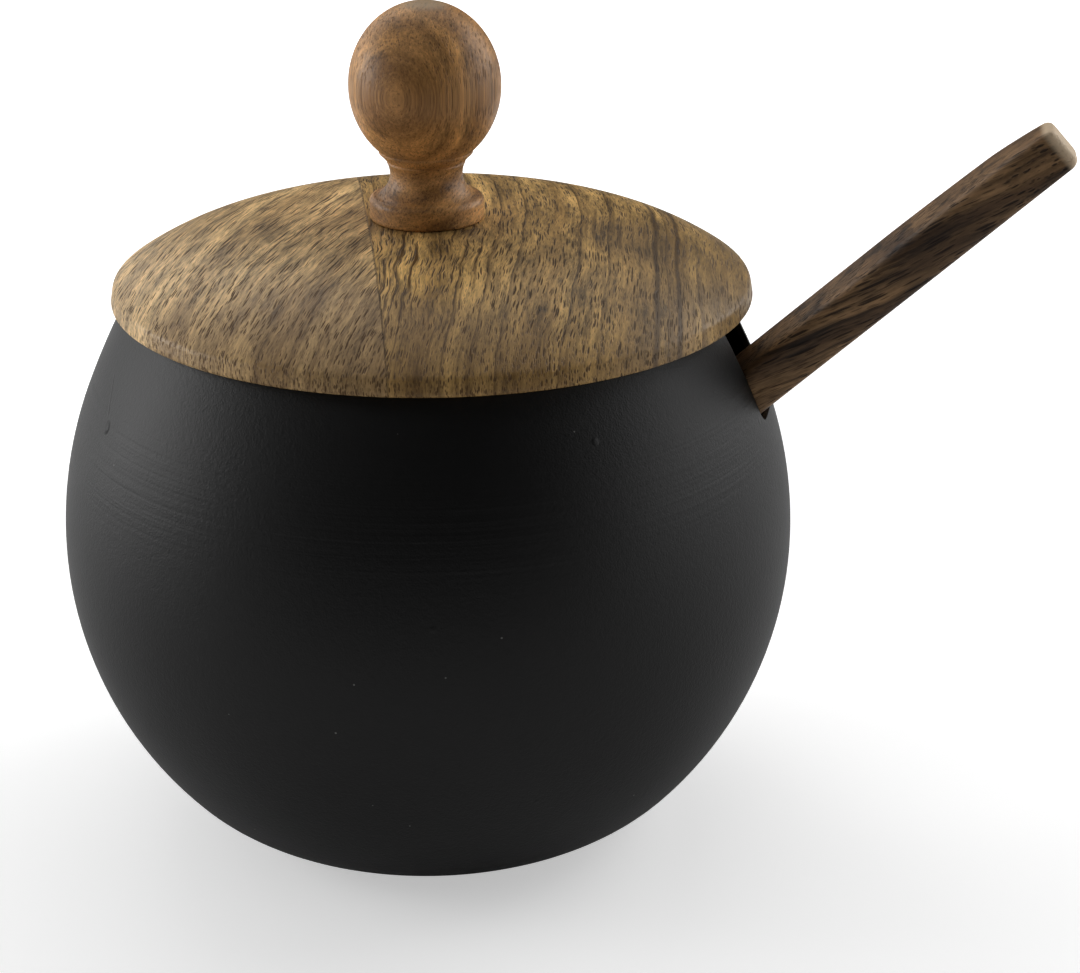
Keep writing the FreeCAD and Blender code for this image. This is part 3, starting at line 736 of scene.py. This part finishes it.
def lid_outline(sizes):
    """Closed outline of the lid about its own axis, from the screw hole round and back."""
    rim = BOWL_HIGH.z
    edge = RIGHT_HIGH.x - LID_AXIS.x
    crease = edge - sizes.lean
    band_z = rim + sizes.band
    rise = KNOB_LOW.z - band_z
    low = rim - sizes.spigot_depth
    outline = Outline(sizes.hole, KNOB_LOW.z)
    dome_steps = 44
    soft = crease - sizes.soften
    first_turn = math.asin(sizes.hole / soft)
    for i in range(1, dome_steps + 1):
        turn = first_turn + (0.5 * math.pi - first_turn) * i / dome_steps
        r = soft * math.sin(turn)
        outline.line(r, band_z + rise * (1.0 - (r / crease) ** sizes.power))
    slope = outline.tip.co.z - band_z
    outline.curve((crease - 0.45 * sizes.soften, band_z + 0.45 * slope), (crease, band_z),
                  crease + sizes.lean * slope / sizes.band, band_z - slope, 6)
    outline.line(edge, rim + sizes.edge_round, cuts=2)
    outline.arc(edge - sizes.edge_round, rim + sizes.edge_round, -0.5 * math.pi, 4)
    outline.line(sizes.spigot, rim)
    outline.line(sizes.spigot, low + sizes.spigot_round)
    outline.arc(sizes.spigot - sizes.spigot_round, low + sizes.spigot_round, -0.5 * math.pi, 4)
    seat = low + sizes.sunk - 0.15 * MM
    outline.line(sizes.sink, low, cuts=6)
    outline.line(sizes.sink, seat)
    outline.line(sizes.hole, seat + sizes.sink - sizes.hole)
    return outline.close()


def add_stave(sizes, side, name, node, material):
    """One stave of the lid: the turned disc, cut along the glue line and closed there."""
    bm = lid_outline(sizes).spin(sizes.steps)
    for vert in bm.verts:
        vert.co += (KNOB_AXIS - LID_AXIS) * ease(2.0 - vert.co.xy.length / sizes.sink)
    turn = sizes.seam_angle
    away = Vector((math.cos(turn), math.sin(turn), 0.0))
    cut = bmesh.ops.bisect_plane(bm, geom=bm.verts[:] + bm.edges[:] + bm.faces[:], dist=0.0005 * MM,
                                 plane_co=-away * sizes.seam, plane_no=away * side, clear_outer=True)
    rim = [part for part in cut["geom_cut"] if isinstance(part, bmesh.types.BMEdge)]
    bmesh.ops.edgeloop_fill(bm, edges=rim)
    bmesh.ops.bevel(bm, geom=rim, offset=sizes.groove, offset_type="OFFSET", affect="EDGES",
                    segments=1, profile=0.5, material=-1)
    bmesh.ops.translate(bm, verts=bm.verts, vec=LID_AXIS)
    bmesh.ops.recalc_face_normals(bm, faces=bm.faces)
    return add_piece(bm, name, "lid", node, material, 30.0)


class SUGARBOWL_OT_lid(bpy.types.Operator):
    """Build the two glued staves of the turned lid"""
    bl_idname = "sugarbowl.lid"
    bl_label = "Lid"

    def execute(self, context):
        sizes = context.scene.sugar_lid
        add_stave(sizes, 1.0, "lid_left", "lid_stave_left", lid_wood_left(sizes))
        add_stave(sizes, -1.0, "lid_right", "lid_stave_right", lid_wood_right(sizes))
        return {"FINISHED"}


class SUGARBOWL_OT_knob(bpy.types.Operator):
    """Build the turned knob"""
    bl_idname = "sugarbowl.knob"
    bl_label = "Knob"

    def execute(self, context):
        sizes = context.scene.sugar_knob
        foot = KNOB_LOW.z
        ball_z = foot + sizes.ball_centre
        half_height = KNOB_HIGH.z - ball_z
        tall = half_height / sizes.ball
        start = -math.acos(sizes.step / sizes.ball)
        outline = Outline(sizes.step, ball_z + sizes.ball * math.sin(start))
        outline.arc(0.0, ball_z, 0.5 * math.pi - start, 40)
        bmesh.ops.scale(outline.bm, verts=outline.bm.verts, vec=(1.0, 1.0, tall),
                        space=Matrix.Translation((0.0, 0.0, -ball_z)))
        outline.tip = outline.first
        top = foot + sizes.flange_height
        round_over = 0.9 * MM
        foot_round = 0.4 * MM
        lip = sizes.flange - round_over
        step_z = foot + sizes.step_height
        groove_z = foot + sizes.collar_height
        waist_z = foot + sizes.neck_height
        outline.line(sizes.step - 0.02 * MM, step_z + 0.25 * MM)
        outline.curve((sizes.step, step_z), (sizes.step - 0.3 * MM, step_z),
                      sizes.collar + 0.12 * MM, groove_z + 0.25 * MM, 6)
        outline.line(sizes.collar - 0.12 * MM, groove_z + 0.08 * MM)
        outline.line(sizes.collar, groove_z - 0.12 * MM)
        outline.curve((sizes.neck, groove_z - 0.9 * MM), (sizes.neck, waist_z),
                      sizes.neck + 0.1 * MM, waist_z - 0.5 * MM, 8)
        outline.curve((sizes.neck + 0.3 * MM, foot + 4.7 * MM), (lip - 1.0 * MM, top + 0.25 * MM),
                      lip, top, 12)
        outline.arc(lip, top - round_over, -0.5 * math.pi, 8)
        outline.line(sizes.flange, foot + foot_round, cuts=2)
        outline.arc(sizes.flange - foot_round, foot + foot_round, -0.5 * math.pi, 4)
        outline.line(0.0, foot, cuts=3)
        bm = outline.spin(sizes.steps)
        bmesh.ops.translate(bm, verts=bm.verts, vec=KNOB_AXIS)
        add_piece(bm, "knob_turning", "lid", "knob", knob_wood(sizes), 40.0)
        return {"FINISHED"}


class SUGARBOWL_OT_screw(bpy.types.Operator):
    """Finish the countersunk screw under the lid"""
    bl_idname = "sugarbowl.screw"
    bl_label = "Screw"

    def execute(self, context):
        screw = frame["nodes"]["knob_screw"]
        screw.data.materials.clear()
        screw.data.materials.append(screw_steel())
        return {"FINISHED"}


def spoon_stations(sizes):
    """Distances along the spoon at which its cross-section is placed, from the handle's end inwards."""
    end = sizes.reach
    tip = -sizes.scoop_reach - 0.5 * sizes.scoop_length
    back = -sizes.scoop_reach + 0.5 * sizes.scoop_length
    stations = [end - sizes.tail_round * (1.0 - math.sin(math.radians(a))) for a in (84, 66, 44, 20)]
    stations += [end - sizes.tail_round - 1.2 * MM * i for i in range(8)]
    stations += [end - sizes.tail_taper - 6.0 * MM * i for i in range(1, 15)]
    stations += [back + (stations[-1] - back) * t for t in (0.75, 0.5, 0.25, 0.12, 0.0)]
    for i in range(1, 15):
        turn = math.pi * i / 15.0
        stations.append(-sizes.scoop_reach + 0.5 * sizes.scoop_length * math.cos(turn))
    stations.append(tip + 0.03 * MM)
    return stations


def spoon_section(sizes, u):
    """Cross-section of the spoon at u: a list of (across, up), running over the top and back under."""
    end = sizes.reach
    full = 0.5 * sizes.width
    top = sizes.thickness
    low = 0.0
    half = full
    scoop_half_length = 0.5 * sizes.scoop_length
    scoop_half_width = 0.5 * sizes.scoop_width
    tail = 0.5 * sizes.tail_width + sizes.tail_round
    t = (u - (end - sizes.tail_taper)) / (sizes.tail_taper - sizes.tail_round)
    if t > 0.0:
        t = min(t, 1.0)
        half = full - (full - tail) * t * t
        low = -sizes.tail_sag * t * t
        top = sizes.thickness - sizes.tail_drop * t * t
    past = (u - (end - sizes.tail_round)) / sizes.tail_round
    if past > 0.0:
        shrink = sizes.tail_round * (1.0 - math.sqrt(max(0.0, 1.0 - past * past)))
        half -= shrink
        low += 0.8 * shrink
        top -= 0.8 * shrink
    neck_half = 4.3 * MM
    neck_length = 14.0 * MM
    inwards = -u - (sizes.scoop_reach - scoop_half_length - neck_length)
    half -= (full - neck_half) * ease(inwards / neck_length) if u < 0.0 else 0.0
    s = (-u - sizes.scoop_reach) / scoop_half_length
    scoop = 0.0
    oval = 0.0
    if abs(s) < 1.0:
        oval = math.sqrt(1.0 - s * s)
        scoop = ease((s + 1.0) * 3.2)
        rim = scoop_half_width * oval
        half = max(half * (1.0 - scoop) + rim * scoop, rim) if s < 0.0 else rim
    depth = sizes.scoop_depth * oval
    dip = max(0.0, depth - sizes.scoop_wall) * ease((s + 0.93) * 4.0) * ease((0.97 - s) * 12.0)
    bevel = min(sizes.edge, 0.3 * half, 0.3 * (top - low))
    inner = half - 2.0 * bevel
    section = []
    for k in (-1.0, -0.8, -0.45, 0.0, 0.45, 0.8, 1.0):
        section.append((inner * k, top - dip * (1.0 - k * k) ** 0.8))
    side = [(half - 0.5 * bevel, top), (half, top - 0.5 * bevel), (half, top - 2.0 * bevel),
            (half, low + 2.0 * bevel), (half, low + 0.5 * bevel), (half - 0.5 * bevel, low), (inner, low)]
    under = [(inner * k, low) for k in (0.45, 0.0, -0.45)]
    rest = side + under + [(-y, z) for y, z in reversed(side)]
    # Angles round the scoop's oval to which the points of the rest of the section move.
    turns = [0.05, 0.16, 0.32, 0.58, 0.86, 1.08, 1.26, 1.42, 0.5 * math.pi]
    turns += [math.pi - t for t in reversed(turns[:-1])]
    if scoop > 0.0:
        blended = []
        for (y, z), turn in zip(rest, turns):
            oy = half * math.cos(turn)
            oz = sizes.thickness - max(depth, 0.6 * MM) * math.sin(turn)
            blended.append((y + (oy - y) * scoop, z + (oz - z) * scoop))
        rest = blended
    return section + rest


class SUGARBOWL_OT_spoon(bpy.types.Operator):
    """Build the one-piece wooden spoon in its notch"""
    bl_idname = "sugarbowl.spoon"
    bl_label = "Spoon"

    def execute(self, context):
        sizes = context.scene.sugar_spoon
        bm = bmesh.new()
        stations = spoon_stations(sizes)
        count = len(spoon_section(sizes, 0.0))
        ring = bmesh.ops.create_circle(bm, segments=count, radius=1.0 * MM)["verts"]
        edges = list(bm.edges)
        for i, u in enumerate(stations):
            if i:
                made = bmesh.ops.extrude_edge_only(bm, edges=edges)["geom"]
                edges = [part for part in made if isinstance(part, bmesh.types.BMEdge) and
                         all(v not in ring for v in part.verts)]
                follow = {}
                fresh = [part for part in made if isinstance(part, bmesh.types.BMVert)]
                for vert in fresh:
                    for side in vert.link_edges:
                        if side.other_vert(vert) in ring:
                            follow[side.other_vert(vert)] = vert
                ring = [follow[vert] for vert in ring]
            for vert, (across, up) in zip(ring, spoon_section(sizes, u)):
                vert.co = (u, across, up)
        bmesh.ops.holes_fill(bm, edges=bm.edges, sides=0)
        bmesh.ops.recalc_face_normals(bm, faces=bm.faces)
        place = Matrix.Translation(SPOON_SEAT) @ Matrix.Rotation(-sizes.rise, 4, "Y")
        place = place @ Matrix.Translation((0.0, 0.0, sizes.gap))
        bmesh.ops.transform(bm, matrix=place, verts=bm.verts)
        piece = add_piece(bm, "spoon_carved", "spoon", "spoon", spoon_wood(sizes), 80.0)
        smooth = piece.modifiers.new("smooth", "SUBSURF")
        smooth.levels = 2
        smooth.render_levels = 2
        return {"FINISHED"}


# ---------------------------------------------------------------- stage

def add_light(name, place, size, watts):
    """A soft rectangular light turned towards the bowl."""
    lamp = bpy.data.lights.new(name, "AREA")
    lamp.shape = "RECTANGLE"
    lamp.size = size[0]
    lamp.size_y = size[1]
    lamp.energy = watts
    holder = bpy.data.objects.new(name, lamp)
    holder.location = place
    holder.rotation_euler = (Vector(LIGHT_TARGET) - Vector(place)).to_track_quat("-Z", "Y").to_euler()
    bpy.context.scene.collection.objects.link(holder)


def studio_world():
    """Even white surround, dimmer for the light it casts than for the eye."""
    world = bpy.data.worlds.new("studio")
    world.use_nodes = True
    world.node_tree.nodes.clear()
    g = Graph(world.node_tree)
    seen = g.put("ShaderNodeLightPath").outputs["Is Camera Ray"]
    white = (1.0, 1.0, 1.0, 1.0)
    cast = g.put("ShaderNodeBackground", {"Color": white, "Strength": SURROUND_CAST}).outputs[0]
    shown = g.put("ShaderNodeBackground", {"Color": white, "Strength": 1.0}).outputs[0]
    both = g.put("ShaderNodeMixShader", {0: seen, 1: cast, 2: shown}).outputs[0]
    g.put("ShaderNodeOutputWorld", {"Surface": both})
    return world


class SUGARBOWL_OT_stage(bpy.types.Operator):
    """Set up the floor, the soft studio lights and the camera"""
    bl_idname = "sugarbowl.stage"
    bl_label = "Stage"

    def execute(self, context):
        sizes = context.scene.sugar_stage
        bm = bmesh.new()
        bmesh.ops.create_grid(bm, x_segments=1, y_segments=1, size=FLOOR_HALF)
        bmesh.ops.translate(bm, verts=bm.verts, vec=(0.0, 0.0, -FLOOR_DROP))
        mesh = bpy.data.meshes.new("floor")
        bm.to_mesh(mesh)
        bm.free()
        mesh.materials.append(floor_paper(sizes))
        floor = bpy.data.objects.new("floor", mesh)
        context.scene.collection.objects.link(floor)

        for light in LIGHTS:
            add_light(*light)
        context.scene.world = studio_world()

        camera = bpy.data.cameras.new("camera")
        camera.lens = sizes.lens
        camera.sensor_width = 36.0
        camera.sensor_fit = "HORIZONTAL"
        holder = bpy.data.objects.new("camera", camera)
        right = Vector((math.cos(sizes.azimuth), math.sin(sizes.azimuth), 0.0))
        target = right * sizes.aside + Vector((0.0, 0.0, BOWL_HIGH.z - sizes.below_rim))
        back = Vector((math.sin(sizes.azimuth) * math.cos(sizes.elevation),
                       -math.cos(sizes.azimuth) * math.cos(sizes.elevation), math.sin(sizes.elevation)))
        holder.location = target + back * sizes.distance
        holder.rotation_euler = (-back).to_track_quat("-Z", "Y").to_euler()
        context.scene.collection.objects.link(holder)
        context.scene.camera = holder
        context.scene.view_settings.view_transform = "Standard"
        return {"FINISHED"}


class SUGARBOWL_PT_panel(bpy.types.Panel):
    """Sidebar panel of the sugar bowl"""
    bl_idname = "SUGARBOWL_PT_panel"
    bl_label = "Sugar Bowl"
    bl_space_type = "VIEW_3D"
    bl_region_type = "UI"
    bl_category = "Sugar Bowl"

    def draw(self, context):
        for operator, group in PARTS:
            box = self.layout.box()
            box.operator(operator)
            if group:
                settings = getattr(context.scene, group)
                for name in settings.__annotations__:
                    box.prop(settings, name)


PARTS = (
    ("sugarbowl.bowl", "sugar_bowl"),
    ("sugarbowl.lid", "sugar_lid"),
    ("sugarbowl.knob", "sugar_knob"),
    ("sugarbowl.screw", None),
    ("sugarbowl.spoon", "sugar_spoon"),
    ("sugarbowl.stage", "sugar_stage"),
)
GROUPS = {
    "sugar_bowl": SUGARBOWL_PG_bowl,
    "sugar_lid": SUGARBOWL_PG_lid,
    "sugar_knob": SUGARBOWL_PG_knob,
    "sugar_spoon": SUGARBOWL_PG_spoon,
    "sugar_stage": SUGARBOWL_PG_stage,
}
CLASSES = tuple(GROUPS.values()) + (
    SUGARBOWL_OT_bowl,
    SUGARBOWL_OT_lid,
    SUGARBOWL_OT_knob,
    SUGARBOWL_OT_screw,
    SUGARBOWL_OT_spoon,
    SUGARBOWL_OT_stage,
    SUGARBOWL_PT_panel,
)


def register():
    for cls in CLASSES:
        bpy.utils.register_class(cls)
    for name, group in GROUPS.items():
        setattr(bpy.types.Scene, name, PointerProperty(type=group))


def unregister():
    for name in GROUPS:
        delattr(bpy.types.Scene, name)
    for cls in reversed(CLASSES):
        bpy.utils.unregister_class(cls)


def main():
    register()
    bpy.ops.sugarbowl.bowl()
    bpy.ops.sugarbowl.lid()
    bpy.ops.sugarbowl.knob()
    bpy.ops.sugarbowl.screw()
    bpy.ops.sugarbowl.spoon()
    bpy.ops.sugarbowl.stage()


if __name__ == "__main__":
    main()
